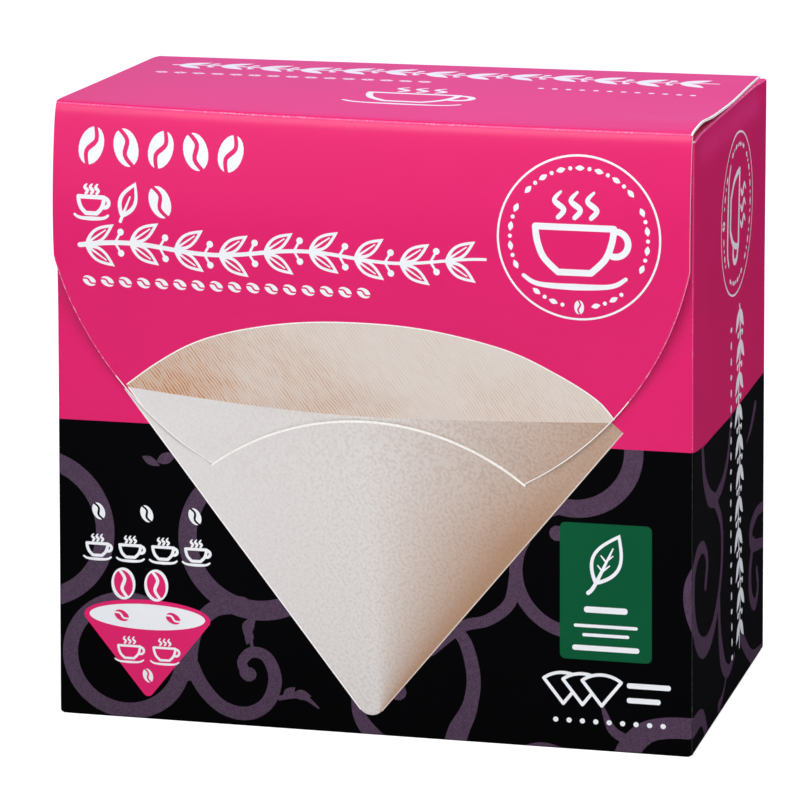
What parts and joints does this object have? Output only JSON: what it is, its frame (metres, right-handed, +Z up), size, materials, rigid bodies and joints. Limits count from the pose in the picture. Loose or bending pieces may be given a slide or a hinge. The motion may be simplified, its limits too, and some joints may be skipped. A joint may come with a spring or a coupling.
{
  "type": "carton of paper coffee filters",
  "caption": "Folded paperboard carton with a hinged lid and a round front flap that tucks through an arched slit, holding a stack of flat-folded cone filters.",
  "frame": {"origin": "middle of the carton's base", "axes": "+X to the right along the front, +Y from the front panel to the back panel, +Z up"},
  "size_m": [0.155, 0.0957, 0.1488],
  "materials": {
    "printed_board": "coated paperboard with a satin varnish, printed in pink over black, white at its cut edges and inside",
    "filter_paper": "unbleached creped filter paper, matt"
  },
  "bodies": {
    "carton": {"carton_body": "printed_board", "filter_stack": "filter_paper"},
    "lid": {"lid_panel": "printed_board"},
    "flap": {"front_flap": "printed_board", "tuck_tongue": "printed_board"}
  },
  "joints": [
    {"name": "lid_hinge", "type": "hinge", "parent": "carton", "child": "lid", "pos_m": [0, 0.046, 0.1465], "axis": [-1, 0, 0], "range_deg": [0, 175]},
    {"name": "flap_hinge", "type": "hinge", "parent": "lid", "child": "flap", "pos_m": [0, -0.04668, 0.1483], "axis": [-1, 0, 0], "range_deg": [0, 170], "deforming": ["tuck_tongue"]}
  ]
}
